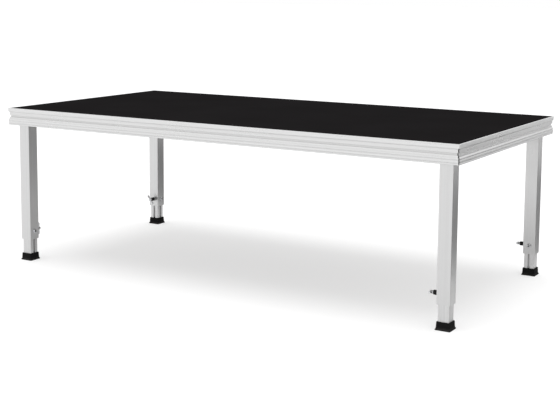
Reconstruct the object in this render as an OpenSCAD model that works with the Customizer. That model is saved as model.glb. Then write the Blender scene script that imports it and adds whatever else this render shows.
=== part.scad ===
// Stage riser platform: a framed deck on four telescopic legs that plug into its corners.
// Millimetres, +Z up. The origin is on the floor under the middle of the deck.
// +X runs along the deck's length, and the front is the long side towards -Y.

/* [Deck] */
// Length of the deck over its rails
deck_l = 2000; // [1500:10:2500]
// Width of the deck over its rails
deck_w = 1000; // [750:10:1250]
// Height of the deck's top above the floor, with the legs as stored
stage_h = 645; // [600:5:700]
// Thickness of the plywood board
board_t = 12; // [9:0.5:15]
// Thickness of the anti-slip film on the board
film_t = 1; // [0.5:0.1:2]
// Gap between the board's edge and the rail's lip
board_clear = 0.5; // [0.2:0.1:1]
// Depth of the film's face below the top of the rail's lip
film_sink = 0.3; // [0.1:0.1:0.8]

/* [Rail section] */
// Height of the rail
rail_h = 70; // [62:1:84]
// Width of the rail from its outer to its inner face
rail_w = 27; // [24:0.5:32]
// Thickness of the lip that edges the board
lip_t = 4; // [3:0.5:5]
// Wall between and around the rail's chambers
rail_wall = 2.4; // [2:0.1:2.8]
// Height of the plain upper band
band_h = 14; // [12:0.5:16]
// Height of the slope from the upper band in to its shelf
upper_slope_h = 4.5; // [3.5:0.5:5.5]
// Height of the shelf above the groove
upper_shelf_h = 11; // [9.5:0.5:12.5]
// Height of the accessory groove
groove_h = 8; // [6.5:0.5:9.5]
// Height of the shelf below the groove
lower_shelf_h = 6; // [5:0.5:7.5]
// Height of the slope from the lower shelf out to the lower band
lower_slope_h = 4.5; // [3.5:0.5:5.5]
// Depth of the two shelves beside the groove
shelf_d = 3; // [2:0.5:4]
// Depth of the accessory groove from the outer face
groove_d = 7; // [5:0.5:9]
// Width of the two fine lines along the lower band
line_w = 5.5; // [4:0.1:5.6]
// Depth of the fine lines
line_d = 1.5; // [1:0.1:1.7]
// Place of the lower line, as a share of the lower band's height
low_line_share = 0.27; // [0.26:0.01:0.3]
// Place of the upper line, as a share of the lower band's height
high_line_share = 0.76; // [0.74:0.01:0.77]
// Bevel along the rail's outer edges
rail_bevel = 0.8; // [0.4:0.1:1.2]
// Set-back of each rail's mitre in the upper band
mitre_set = 0.1; // [0.05:0.05:0.3]
// Set-back of each rail's mitre below the upper band, which leaves an open seam
seam_set = 2.6; // [1:0.2:3.4]

/* [Under the deck] */
// Width of a cross beam
beam_w = 30; // [24:1:40]
// Wall of a cross beam
beam_wall = 2; // [1.5:0.5:3]
// Distance from the rails' lower edge up to the cross beams
beam_raise = 8; // [5:0.5:12]
// Gap between a cross beam's end and the rail
beam_clear = 0.2; // [0.1:0.1:0.5]
// Length of each arm of the angle bracket at a beam's end
bracket_arm = 32; // [28:1:40]
// Height of the angle bracket
bracket_h = 28; // [22:1:32]
// Thickness of the angle bracket
bracket_t = 4; // [3:0.5:5]
// Diameter of the frame screws
screw_d = 5; // [4:0.5:6]
// Diameter of the frame screws' heads
screw_head_d = 10; // [8:0.5:12]
// Height of the frame screws' heads
screw_head_h = 3.5; // [2.5:0.5:4]
// Length of a bracket screw past the wall that it holds
screw_grip = 4; // [3:0.5:6]
// Depth to which a board screw bites into the board
board_bite = 7; // [5:0.5:8]
// Length of each arm of the angle inside a corner joint
angle_arm = 60; // [45:1:80]
// Thickness of the angle inside a corner joint
angle_t = 8; // [6:0.5:10]
// Play of that angle in the rails' chamber
angle_clear = 0.2; // [0.1:0.1:0.4]

/* [Corner socket] */
// Wall of the socket that takes a leg
socket_wall = 4.5; // [3.5:0.5:6]
// Thickness of the socket's roof, which the leg stands against
roof_t = 5; // [4:0.5:7]
// Distance from the rails' lower edge up to the socket's mouth
socket_raise = 3; // [1:0.5:6]
// Radius of the socket's upright edges
socket_r = 3; // [2:0.5:4]
// Play of a leg in its socket, each side
leg_clear = 0.5; // [0.3:0.1:0.8]
// Diameter of the socket knob's stud
stud_d = 10; // [8:0.5:12]
// Wall of the boss round the stud
boss_wall = 6; // [4:0.5:8]
// Length of the boss
boss_l = 7; // [5:0.5:10]
// Bare length of the stud between boss and grip
knob_gap = 6; // [4:0.5:9]
// Diameter of the knob's star grip
knob_d = 36; // [32:1:40]
// Thickness of the star grip
knob_h = 18; // [14:1:22]
// Diameter of the hollows between the grip's lobes
lobe_gap_d = 11; // [8:0.5:13]

/* [Leg tubes] */
// Side of the square outer tube
leg_a = 50; // [44:1:56]
// Wall of the outer tube
leg_t = 4; // [3:0.5:5]
// Radius of the outer tube's edges
leg_r = 1.2; // [0.8:0.2:2]
// Radius of the edges of the outer tube's bore
leg_bore_r = 1; // [0.5:0.1:1.4]
// Play of the inner tube in the outer one, each side
slide_clear = 0.5; // [0.3:0.1:0.6]
// Length of inner tube that shows between the foot and the outer tube
exposed = 60; // [40:1:90]
// Height of the deck with the legs drawn right out
reach_h = 1000; // [900:5:1040]
// Wall of the inner tube
inner_wall = 3; // [2.5:0.1:3.5]
// Radius of the inner tube's edges
inner_r = 1.5; // [1.4:0.1:2.5]
// Width of the channels along the inner tube's two inward faces
channel_w = 10; // [8:0.5:12]
// Depth of those channels
channel_d = 6.5; // [5.5:0.5:7]
// Wall at each side of a channel
channel_wall = 2.5; // [2:0.1:3]
// Thickness of the guide plug's head on top of the inner tube
plug_t = 6; // [4:0.5:9]
// Play of the guide plug in the outer tube, each side
plug_clear = 0.3; // [0.2:0.1:0.4]
// Diameter of the guide plug's stub
stub_d = 20; // [16:1:22]
// Length of the guide plug's stub
stub_l = 25; // [15:1:40]
// Play of the guide plug's tongues in the channels
tongue_clear = 0.2; // [0.1:0.1:0.4]
// Space left under the socket's roof when a leg is pushed right in
top_clear = 8; // [4:1:15]

/* [Foot] */
// Height of the foot
foot_h = 29; // [24:1:36]
// Thickness of the foot under the tube
foot_floor = 6; // [4:0.5:9]
// Wall of the foot's collar at its top
foot_wall = 4.2; // [3.4:0.1:5]
// Amount by which the collar widens down to the lip, each side
foot_lean = 1; // [0.5:0.1:1.8]
// Amount by which the lip stands out past the collar, each side
foot_lip = 2.8; // [2:0.1:3.5]
// Height of the lip's upright edge
lip_h = 3; // [2:0.5:5]
// Height of the flare above the lip's edge
flare_h = 5; // [3:0.5:8]
// Radius of the foot's upright edges
foot_r = 4; // [3:0.5:5]
// Bevel round the foot's sole and its top edge
foot_bevel = 0.8; // [0.4:0.1:1.2]
// Play between the foot and the inner tube
foot_fit = 0.1; // [0.05:0.05:0.2]

/* [Leg clamp] */
// Height of the clamp screw above the outer tube's lower end
clamp_up = 34; // [28:1:50]
// Play at each side of the screw's tip in its channel
tip_play = 1; // [0.7:0.1:1.5]
// Gap between a tightened screw's tip and what it presses on
tip_gap = 0.1; // [0.05:0.05:0.2]
// Wall of the threaded insert round its screw
insert_wall = 2; // [1.5:0.1:3]
// Width of the insert's flange past its barrel
flange_w = 2; // [1.5:0.1:3]
// Thickness of the insert's flange
flange_t = 1.2; // [0.8:0.1:2]
// Wall of the clamp's hub round the screw
hub_wall = 4.5; // [3:0.5:6]
// Length of the clamp's hub
hub_l = 19; // [15:0.5:24]
// Gap between the hub and the insert's flange
hub_gap = 0.3; // [0.2:0.1:0.6]
// Bevel on the hub's two rims
hub_bevel = 1.2; // [0.6:0.2:2]
// Diameter of the handle's cross bar
bar_d = 8.5; // [7:0.5:10]
// Length of the handle's cross bar
bar_l = 50; // [44:1:60]
// Wall of the screw's head round the cross bar
head_wall = 1.8; // [1.4:0.1:3]
// Radius on the ends of the cross bar
bar_end_r = 2.5; // [1.5:0.5:3.4]
// Amount by which the guide screw's head overhangs its flange, all round
guide_head_over = 1; // [0.5:0.1:2]
// Height of the guide screw's head
guide_head_h = 5.5; // [4.5:0.5:7]
// Height of the straight rim of that head
guide_rim_h = 1.6; // [1:0.2:2.4]
// Size of that head's hexagon socket across its flats
hex_af = 8; // [7:0.5:9]
// Depth of the hexagon socket
hex_depth = 4.2; // [3.2:0.1:4.5]
// Gap between the guide screw's end and the channel's floor
guide_end_gap = 0.6; // [0.4:0.1:1]
// Play between a screw or a pressed piece and its hole, on the radius
hole_play = 0.05; // [0.02:0.01:0.1]
// Distance between the guide plug's tongue and the screw's tip with the leg drawn right out
stop_gap = 0.5; // [0.3:0.1:1]

/* [Hidden] */
$fn = 48;
// Length by which a cutting shape runs past the face that it opens
over = 1;

// Each corner: name, side in X, side in Y, clamp direction, guide screw direction, turn of the cross bar
corners = [
    ["front_left", -1, -1, 90, 0, 0],
    ["front_right", 1, -1, 180, 90, 100],
    ["rear_left", -1, 1, -90, 0, 40],
    ["rear_right", 1, 1, 180, -90, 100]
];
corner_parts = [
    "corner_socket", "socket_knob", "outer_tube", "thread_inserts", "guide_screw", "inner_tube",
    "guide_plug", "foot", "clamp_screw", "clamp_hub", "clamp_bar"
];
// Each cross beam: name, place along the deck as a share of half its length
beams = [["left", -0.5], ["middle", 0], ["right", 0.5]];
// Board screws along each beam, as shares of half its length
board_screw_places = [-0.7, 0, 0.7];
lobes = 5;

// Heights through the deck
rail_z = stage_h - rail_h;
seat_d = board_t + film_t + film_sink;
seat_z = stage_h - seat_d;

// Levels of the rail's section, from its lower edge
band_floor = rail_h - band_h;
groove_top = band_floor - upper_slope_h - upper_shelf_h;
groove_floor = groove_top - groove_h;
skirt_h = groove_floor - lower_shelf_h - lower_slope_h;
low_line_z = skirt_h * low_line_share;
high_line_z = skirt_h * high_line_share;
chamber_top = groove_floor - rail_wall;
skirt_chamber_top = skirt_h - rail_wall;

// Walls behind the rail's two slopes, measured level
upper_lean = shelf_d / upper_slope_h;
lower_lean = shelf_d / lower_slope_h;
upper_slant = rail_wall * sqrt(1 + upper_lean * upper_lean);
lower_slant = rail_wall * sqrt(1 + lower_lean * lower_lean);
shelf_in = shelf_d + rail_wall;
roof_z = rail_h - seat_d - rail_wall;
roof_in = (band_floor - roof_z) * upper_lean + upper_slant;

// Cross beams, their brackets and screws
beam_h = seat_z - rail_z - beam_raise;
beam_z = rail_z + beam_raise;
beam_l = deck_w - 2 * (rail_w + beam_clear);
bracket_z = beam_z;
bracket_hole = bracket_t + (bracket_arm - bracket_t) / 2;
screw_hole_d = screw_d + 2 * hole_play;
screw_access = 2;

// Leg places and heights
socket_side = leg_a + 2 * (leg_clear + socket_wall);
leg_in = rail_w + socket_side / 2;
leg_x = deck_l / 2 - leg_in;
leg_y = deck_w / 2 - leg_in;
socket_z = rail_z + socket_raise;
socket_h = seat_z - socket_z;
leg_top = seat_z - roof_t;
leg_z = foot_h + exposed;
knob_z = socket_z + (socket_h - roof_t) / 2;

// Leg tubes
leg_bore = leg_a - 2 * leg_t;
inner_side = leg_bore - 2 * slide_clear;
inner_top = leg_top - exposed - plug_t - top_clear;
channel_floor = inner_side / 2 - channel_d;
inner_bore = inner_side - 2 * inner_wall;
clamp_z = leg_z + clamp_up;
tip_d = channel_w - 2 * tip_play;
tongue_z = clamp_z + tip_d / 2 + reach_h - stage_h + stop_gap;

// Clamp, measured out from the leg's middle
face = leg_a / 2;
barrel_d = tip_d + 2 * insert_wall;
flange_d = barrel_d + 2 * flange_w;
hub_start = face + flange_t + hub_gap;
hub_end = hub_start + hub_l;
head_d = bar_d + 2 * head_wall;
bar_out = hub_end + head_d / 2;
head_end = hub_end + head_d;

// Foot
foot_top_side = inner_side + 2 * (foot_fit + foot_wall);
foot_waist_side = foot_top_side + 2 * foot_lean;
foot_lip_side = foot_waist_side + 2 * foot_lip;

// A square with rounded corners, centred
module rounded_square(side, r) {
    square([side - 2 * r, side], center = true);
    square([side, side - 2 * r], center = true);
    for (x = [-1, 1], y = [-1, 1])
        translate([x, y] * (side / 2 - r)) circle(r);
}

// Moves its children to a corner's leg
module at_leg(c) {
    translate([c[1] * leg_x, c[2] * leg_y, 0]) children();
}

// Turns its children's +Z outwards, level with z, in the direction of an angle in plan
module outwards(direction, z) {
    translate([0, 0, z]) rotate([0, 0, direction]) rotate([0, 90, 0]) children();
}

// Direction from a corner along the deck towards its middle
function inward(c) = c[1] > 0 ? 180 : 0;

// The rail's section: distance in from the outer face, then height above the lower edge
module rail_section() {
    difference() {
        polygon([
            [rail_bevel, 0],
            [rail_w, 0],
            [rail_w, rail_h - seat_d],
            [lip_t, rail_h - seat_d],
            [lip_t, rail_h],
            [rail_bevel, rail_h],
            [0, rail_h - rail_bevel],
            [0, band_floor],
            [shelf_d, band_floor - upper_slope_h],
            [shelf_d, groove_top],
            [groove_d, groove_top],
            [groove_d, groove_floor],
            [shelf_d, groove_floor],
            [shelf_d, skirt_h + lower_slope_h],
            [0, skirt_h],
            [0, high_line_z + line_w / 2],
            [line_d, high_line_z],
            [0, high_line_z - line_w / 2],
            [0, low_line_z + line_w / 2],
            [line_d, low_line_z],
            [0, low_line_z - line_w / 2],
            [0, rail_bevel]
        ]);
        // Chamber behind the upper slope and shelf
        polygon([
            [shelf_in, groove_top + rail_wall],
            [rail_w - rail_wall, groove_top + rail_wall],
            [rail_w - rail_wall, roof_z],
            [roof_in, roof_z],
            [shelf_in, band_floor - (shelf_in - upper_slant) / upper_lean]
        ]);
        // Chamber behind the groove
        translate([groove_d + rail_wall, groove_floor])
            square([rail_w - groove_d - 2 * rail_wall, groove_h]);
        // Chamber behind the lower band
        polygon([
            [rail_wall, rail_wall],
            [rail_w - rail_wall, rail_wall],
            [rail_w - rail_wall, chamber_top],
            [shelf_in, chamber_top],
            [shelf_in, skirt_h + (shelf_in - lower_slant) / lower_lean],
            [rail_wall, skirt_h + (rail_wall - lower_slant) / lower_lean]
        ]);
    }
}

// The space between the two mitre cuts of a rail, over part of its height
module mitre_block(len, set_back, low, high) {
    long = len / 2 - set_back;
    short = long - rail_w;
    translate([0, 0, low]) linear_extrude(high - low)
        polygon([[-long, 0], [long, 0], [short, rail_w], [-short, rail_w]]);
}

// A mitred rail along X, its outer face towards -Y, with bracket screw holes in its inner wall
module rail(len, hole_places = []) {
    difference() {
        intersection() {
            translate([-len / 2, 0, 0]) rotate([90, 0, 90]) linear_extrude(len) rail_section();
            union() {
                mitre_block(len, mitre_set, band_floor, rail_h);
                mitre_block(len, seam_set, 0, band_floor);
            }
        }
        for (x = hole_places)
            translate([x, rail_w + over, bracket_z - rail_z + bracket_h / 2]) rotate([90, 0, 0])
                cylinder(d = screw_hole_d, h = rail_wall + 2 * over);
    }
}

// Places along the front rail of the brackets' screws
rail_hole_places = [for (b = beams) b[1] * deck_l / 2 + beam_w / 2 + bracket_hole];

module front_rail() {
    color("Gainsboro") translate([0, -deck_w / 2, rail_z]) rail(deck_l, rail_hole_places);
}

module rear_rail() {
    color("Gainsboro") translate([0, deck_w / 2, rail_z]) rotate([0, 0, 180])
        rail(deck_l, [for (x = rail_hole_places) -x]);
}

module left_rail() {
    color("Gainsboro") translate([-deck_l / 2, 0, rail_z]) rotate([0, 0, -90]) rail(deck_w);
}

module right_rail() {
    color("Gainsboro") translate([deck_l / 2, 0, rail_z]) rotate([0, 0, 90]) rail(deck_w);
}

// A panel that fills the frame inside the rails' lips
module deck_panel(low, thick) {
    edge = 2 * (lip_t + board_clear);
    translate([-(deck_l - edge) / 2, -(deck_w - edge) / 2, low]) cube([deck_l - edge, deck_w - edge, thick]);
}

// Moves its children to every board screw's place, under the board
module at_board_screws() {
    for (b = beams, place = board_screw_places)
        translate([b[1] * deck_l / 2, place * beam_l / 2, seat_z]) children();
}

module deck_board() {
    color("SaddleBrown") difference() {
        deck_panel(seat_z, board_t);
        at_board_screws() translate([0, 0, -over]) cylinder(d = screw_hole_d, h = board_bite + hole_play + over);
    }
}

module antislip_film() {
    color([0.12, 0.12, 0.13]) deck_panel(seat_z + board_t, film_t);
}

// A cross beam under the board, a rectangular tube with holes for its screws
module cross_beam(b) {
    color("LightGray") translate([b[1] * deck_l / 2, 0, 0]) difference() {
        translate([-beam_w / 2, -beam_l / 2, beam_z]) cube([beam_w, beam_l, beam_h]);
        translate([-beam_w / 2 + beam_wall, -beam_l / 2 - over, beam_z + beam_wall])
            cube([beam_w - 2 * beam_wall, beam_l + 2 * over, beam_h - 2 * beam_wall]);
        for (place = board_screw_places) {
            translate([0, place * beam_l / 2, seat_z - beam_wall - over])
                cylinder(d = screw_hole_d, h = beam_wall + 2 * over);
            translate([0, place * beam_l / 2, beam_z - over])
                cylinder(d = screw_head_d + 2 * screw_access, h = beam_wall + 2 * over);
        }
        for (side = [-1, 1])
            translate([beam_w / 2 - beam_wall - over, side * (deck_w / 2 - rail_w - bracket_hole),
                       bracket_z + bracket_h / 2])
                rotate([0, 90, 0]) cylinder(d = screw_hole_d, h = beam_wall + 2 * over);
    }
}

// Moves its children to every bracket's inner corner: +X along the rail, +Y along the beam
module at_brackets() {
    for (b = beams, side = [0, 1])
        mirror([0, side, 0])
            translate([b[1] * deck_l / 2 + beam_w / 2, -deck_w / 2 + rail_w, bracket_z]) children();
}

module beam_brackets() {
    color("DarkGray") at_brackets() difference() {
        union() {
            cube([bracket_arm, bracket_t, bracket_h]);
            cube([bracket_t, bracket_arm, bracket_h]);
        }
        translate([bracket_hole, -over, bracket_h / 2]) rotate([-90, 0, 0])
            cylinder(d = screw_hole_d, h = bracket_t + 2 * over);
        translate([-over, bracket_hole, bracket_h / 2]) rotate([0, 90, 0])
            cylinder(d = screw_hole_d, h = bracket_t + 2 * over);
    }
}

// A pan-head screw along +Z: its shank starts at zero and its head sits on the shank's far end
module frame_screw(shank) {
    rotate_extrude() polygon([
        [0, 0],
        [screw_d / 2, 0],
        [screw_d / 2, shank],
        [screw_head_d / 2, shank],
        [screw_head_d / 2, shank + screw_head_h / 2],
        [screw_head_d / 2 - screw_head_h / 2, shank + screw_head_h],
        [0, shank + screw_head_h]
    ]);
}

module bracket_screws() {
    color("Silver") at_brackets() {
        translate([bracket_hole, -rail_wall - screw_grip, bracket_h / 2]) rotate([-90, 0, 0])
            frame_screw(rail_wall + screw_grip + bracket_t);
        translate([-beam_wall - screw_grip, bracket_hole, bracket_h / 2]) rotate([0, 90, 0])
            frame_screw(beam_wall + screw_grip + bracket_t);
    }
}

module board_screws() {
    color("Silver") at_board_screws() translate([0, 0, board_bite]) mirror([0, 0, 1])
        frame_screw(board_bite + beam_wall);
}

// The angles that hold the mitres together, inside the chambers behind the rails' lower bands
module corner_angles() {
    setback = rail_w - rail_wall - angle_clear;
    color("DarkGray") for (c = corners)
        translate([c[1] * deck_l / 2, c[2] * deck_w / 2, rail_z + rail_wall + angle_clear])
            mirror([c[1] > 0 ? 1 : 0, 0, 0]) mirror([0, c[2] > 0 ? 1 : 0, 0])
                translate([setback - angle_t, setback - angle_t, 0]) linear_extrude(
                    skirt_chamber_top - rail_wall - 2 * angle_clear)
                    union() {
                        square([angle_arm, angle_t]);
                        square([angle_t, angle_arm]);
                    }
}

// A roofed square socket with a boss for its knob
module corner_socket(c) {
    cavity_h = socket_h - roof_t;
    color("Silver") at_leg(c) difference() {
        union() {
            translate([0, 0, socket_z]) linear_extrude(socket_h) rounded_square(socket_side, socket_r);
            outwards(inward(c), knob_z) translate([0, 0, socket_side / 2 - socket_wall / 2])
                cylinder(d = stud_d + 2 * boss_wall, h = boss_l + socket_wall / 2);
        }
        translate([0, 0, socket_z - over]) linear_extrude(cavity_h + over)
            rounded_square(leg_a + 2 * leg_clear, leg_r);
        outwards(inward(c), knob_z) cylinder(d = stud_d + 2 * hole_play, h = socket_side / 2 + boss_l + over);
    }
}

// A star grip moulded on the stud that presses the leg into its socket
module socket_knob(c) {
    grip_start = socket_side / 2 + boss_l + knob_gap;
    stud_tip = face + tip_gap;
    color([0.1, 0.1, 0.1]) at_leg(c) outwards(inward(c), knob_z) {
        translate([0, 0, stud_tip]) cylinder(d = stud_d, h = grip_start + knob_h / 2 - stud_tip);
        translate([0, 0, grip_start]) linear_extrude(knob_h) difference() {
            circle(d = knob_d);
            for (i = [0 : lobes - 1])
                rotate(i * 360 / lobes) translate([knob_d / 2, 0]) circle(d = lobe_gap_d);
        }
    }
}

// The square outer tube, holed for the clamp's and the guide screw's inserts
module outer_tube(c) {
    color("LightGray") at_leg(c) difference() {
        translate([0, 0, leg_z]) linear_extrude(leg_top - leg_z) difference() {
            rounded_square(leg_a, leg_r);
            rounded_square(leg_bore, leg_bore_r);
        }
        for (direction = [c[3], c[4]])
            outwards(direction, clamp_z) translate([0, 0, leg_bore / 2 - over])
                cylinder(d = barrel_d + 2 * hole_play, h = leg_t + 2 * over);
    }
}

// The two flanged threaded inserts in the outer tube's wall
module thread_inserts(c) {
    color("Silver") at_leg(c) for (direction = [c[3], c[4]])
        outwards(direction, clamp_z) difference() {
            union() {
                translate([0, 0, leg_bore / 2]) cylinder(d = barrel_d, h = leg_t + flange_t / 2);
                translate([0, 0, face]) cylinder(d = flange_d, h = flange_t);
            }
            translate([0, 0, leg_bore / 2 - over])
                cylinder(d = tip_d + 2 * hole_play, h = leg_t + flange_t + 2 * over);
        }
}

// A domed screw with a hexagon socket, whose end runs in the inner tube's channel
module guide_screw(c) {
    seat = face + flange_t;
    head_r = flange_d / 2 + guide_head_over;
    rise = guide_head_h - guide_rim_h;
    dome_r = (head_r * head_r + rise * rise) / (2 * rise);
    color("Silver") at_leg(c) outwards(c[4], clamp_z) difference() {
        union() {
            translate([0, 0, channel_floor + guide_end_gap])
                cylinder(d = tip_d, h = seat + guide_rim_h / 2 - channel_floor - guide_end_gap);
            translate([0, 0, seat]) rotate_extrude() intersection() {
                translate([0, guide_head_h - dome_r]) circle(dome_r);
                square([head_r, guide_head_h]);
            }
        }
        translate([0, 0, seat + guide_head_h - hex_depth])
            cylinder(d = hex_af / cos(30), h = hex_depth + over, $fn = 6);
    }
}

// The inner tube's section, with a channel along each of its two inward faces
module inner_section(c) {
    backing = channel_d + inner_wall;
    difference() {
        rounded_square(inner_side, inner_r);
        difference() {
            square(inner_bore, center = true);
            for (direction = [c[3], c[4]])
                rotate(direction) translate([inner_side / 2 - backing, -channel_w / 2 - channel_wall])
                    square([backing, channel_w + 2 * channel_wall]);
        }
        for (direction = [c[3], c[4]])
            rotate(direction) translate([channel_floor, -channel_w / 2]) square([channel_d + over, channel_w]);
    }
}

module inner_tube(c) {
    color("Gainsboro") at_leg(c) translate([0, 0, foot_floor]) linear_extrude(inner_top - foot_floor)
        inner_section(c);
}

// The plug on top of the inner tube: its head guides, and its tongues stop the leg from coming right out
module guide_plug(c) {
    color([0.15, 0.15, 0.15]) at_leg(c) {
        translate([0, 0, inner_top]) linear_extrude(plug_t) rounded_square(leg_bore - 2 * plug_clear, inner_r);
        translate([0, 0, inner_top - stub_l]) cylinder(d = stub_d, h = stub_l + plug_t / 2);
        for (direction = [c[3], c[4]])
            rotate([0, 0, direction])
                translate([channel_floor + tongue_clear, -channel_w / 2 + tongue_clear, tongue_z])
                    cube([channel_d - tongue_clear, channel_w - 2 * tongue_clear, inner_top + plug_t / 2 - tongue_z]);
    }
}

// A thin slice of the foot at a height
module foot_slice(side, z) {
    slice_t = 0.01;
    translate([0, 0, z]) linear_extrude(slice_t) rounded_square(side, foot_r, $fn = 32);
}

// A rubber boot over the inner tube's end, with a flared lip round its sole
module foot(c) {
    waist_z = lip_h + flare_h;
    slice_t = 0.01;
    color([0.08, 0.08, 0.08]) at_leg(c) difference() {
        union() {
            hull() {
                foot_slice(foot_lip_side - 2 * foot_bevel, 0);
                foot_slice(foot_lip_side, foot_bevel);
                foot_slice(foot_lip_side, lip_h - slice_t);
            }
            hull() {
                foot_slice(foot_lip_side, lip_h - slice_t);
                foot_slice(foot_waist_side, waist_z - slice_t);
            }
            hull() {
                foot_slice(foot_waist_side, waist_z - slice_t);
                foot_slice(foot_top_side, foot_h - foot_bevel);
                foot_slice(foot_top_side - 2 * foot_bevel, foot_h - slice_t);
            }
        }
        translate([0, 0, foot_floor]) linear_extrude(foot_h) rounded_square(inner_side + 2 * foot_fit, inner_r);
    }
}

// The clamp's screw: its tip presses on the channel's floor, and its head carries the cross bar
module clamp_screw(c) {
    tip = channel_floor + tip_gap;
    color("Silver") at_leg(c) outwards(c[3], clamp_z) difference() {
        union() {
            translate([0, 0, tip]) cylinder(d = tip_d, h = hub_end + head_d / 2 - tip);
            translate([0, 0, hub_end]) cylinder(d = head_d, h = head_d);
        }
        translate([0, 0, bar_out]) rotate([0, 0, c[5]]) rotate([0, 90, 0])
            cylinder(d = bar_d + 2 * hole_play, h = head_d + 2 * over, center = true);
    }
}

// The black hub on the clamp's screw
module clamp_hub(c) {
    bore_r = tip_d / 2 + hole_play;
    hub_r = tip_d / 2 + hub_wall;
    color([0.06, 0.06, 0.06]) at_leg(c) outwards(c[3], clamp_z) translate([0, 0, hub_start])
        rotate_extrude() polygon([
            [bore_r, 0],
            [hub_r - hub_bevel, 0],
            [hub_r, hub_bevel],
            [hub_r, hub_l - hub_bevel],
            [hub_r - hub_bevel, hub_l],
            [bore_r, hub_l]
        ]);
}

// The clamp's cross bar, with rounded ends
module clamp_bar(c) {
    color("Silver") at_leg(c) outwards(c[3], clamp_z) translate([0, 0, bar_out]) rotate([0, 0, c[5]])
        rotate([0, 90, 0]) translate([0, 0, -bar_l / 2]) rotate_extrude() {
            translate([0, bar_end_r]) square([bar_d / 2, bar_l - 2 * bar_end_r]);
            square([bar_d / 2 - bar_end_r, bar_l]);
            for (z = [bar_end_r, bar_l - bar_end_r])
                translate([bar_d / 2 - bar_end_r, z]) intersection() {
                    circle(bar_end_r);
                    translate([0, -bar_end_r]) square([bar_end_r, 2 * bar_end_r]);
                }
        }
}

deck_board();
antislip_film();
front_rail();
rear_rail();
left_rail();
right_rail();
beam_brackets();
bracket_screws();
board_screws();
corner_angles();
for (b = beams)
    cross_beam(b);
for (c = corners) {
    corner_socket(c);
    socket_knob(c);
    outer_tube(c);
    thread_inserts(c);
    guide_screw(c);
    inner_tube(c);
    guide_plug(c);
    foot(c);
    clamp_screw(c);
    clamp_hub(c);
    clamp_bar(c);
}
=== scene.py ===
# %% [markdown]
# # A stage riser platform
# The object is a stage riser: a black anti-slip deck in a grooved aluminium frame, on four telescopic square legs.
# Its solids were drawn in CAD and come in ready-made, so this lesson is about the rest of the work: finishes that
# look like the real metals, film and rubber, a few small pieces that CAD leaves plain, and the studio around it.

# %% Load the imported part
import math

import bmesh
import bpy
from mathutils import Matrix, Vector


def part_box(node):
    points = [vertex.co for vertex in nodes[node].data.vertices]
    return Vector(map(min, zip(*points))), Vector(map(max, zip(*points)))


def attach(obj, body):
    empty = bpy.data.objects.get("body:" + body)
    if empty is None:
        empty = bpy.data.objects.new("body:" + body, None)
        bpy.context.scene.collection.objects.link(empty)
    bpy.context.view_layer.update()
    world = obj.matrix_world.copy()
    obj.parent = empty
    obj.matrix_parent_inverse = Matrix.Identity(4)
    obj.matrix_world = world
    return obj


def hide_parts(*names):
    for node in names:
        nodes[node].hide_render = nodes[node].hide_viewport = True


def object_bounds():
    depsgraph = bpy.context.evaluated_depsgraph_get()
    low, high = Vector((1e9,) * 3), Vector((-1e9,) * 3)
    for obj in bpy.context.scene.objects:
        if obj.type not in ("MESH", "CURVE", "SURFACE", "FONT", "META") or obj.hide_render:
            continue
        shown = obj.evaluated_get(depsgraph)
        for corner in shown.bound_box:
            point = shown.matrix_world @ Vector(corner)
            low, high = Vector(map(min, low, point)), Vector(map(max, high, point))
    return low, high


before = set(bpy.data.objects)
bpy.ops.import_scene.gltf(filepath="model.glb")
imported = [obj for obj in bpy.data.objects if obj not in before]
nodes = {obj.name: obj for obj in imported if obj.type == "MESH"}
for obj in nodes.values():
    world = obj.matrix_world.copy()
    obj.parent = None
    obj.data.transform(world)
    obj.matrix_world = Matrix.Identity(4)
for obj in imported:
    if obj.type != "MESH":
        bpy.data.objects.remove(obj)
cad_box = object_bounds()
print("nodes:", len(nodes), "box:", [round(v, 4) for corner in cad_box for v in corner])

# %% [markdown]
# ## Measure before making
# Everything that is added later has to sit on the CAD pieces. Typing their places again would work once, and go
# wrong as soon as the CAD changes, so the places are read from the nodes themselves. Every node's vertices are in
# metres, in one frame: X along the deck, Y from front to rear, Z up from the floor.

# %% Read the corners and the main sizes
MM = 0.001
CORNERS = ("front_left", "front_right", "rear_left", "rear_right")


def middle(node):
    low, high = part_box(node)
    return (low + high) / 2


leg_axis = {corner: middle(f"outer_tube_{corner}") for corner in CORNERS}
rail_low, rail_top = (corner.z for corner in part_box("front_rail"))
inner_side = (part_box("inner_tube_front_left")[1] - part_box("inner_tube_front_left")[0]).x
print("leg axes:", {c: (round(p.x, 3), round(p.y, 3)) for c, p in leg_axis.items()})
print("rail from", round(rail_low, 4), "to", round(rail_top, 4), "inner tube", round(inner_side / MM, 1), "mm")

# %% [markdown]
# ## A short way to wire nodes
# A material in Blender is a small network: nodes that work out numbers and colours, joined to one shader. Written
# with the plain API, each node takes five or six lines. One helper that makes a node, sets it and joins its inputs
# keeps the recipes below short enough to read as recipes, and a few more name the steps that come back often.

# %% Helpers: nodes and numbers
def put(tree, kind, inputs=None, **settings):
    """Adds one shader node; an input is a plain value, or the output socket that feeds it."""
    node = tree.nodes.new("ShaderNode" + kind)
    for name, value in settings.items():
        setattr(node, name, value)
    for socket, value in (inputs or {}).items():
        if isinstance(value, bpy.types.NodeSocket):
            tree.links.new(value, node.inputs[socket])
        else:
            node.inputs[socket].default_value = value
    return node


def maths(tree, operation, *values):
    return put(tree, "Math", dict(enumerate(values)), operation=operation).outputs[0]


def vector_maths(tree, operation, *values, out="Vector"):
    return put(tree, "VectorMath", dict(enumerate(values)), operation=operation).outputs[out]


def scaled(tree, vector, factor):
    return put(tree, "VectorMath", {0: vector, "Scale": factor}, operation="SCALE").outputs["Vector"]


def one_axis(tree, vector, axis):
    """One number out of a vector: its X, Y or Z."""
    return put(tree, "SeparateXYZ", {0: vector}).outputs[axis]


def surface_normal(tree):
    return put(tree, "NewGeometry").outputs["Normal"]


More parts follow.
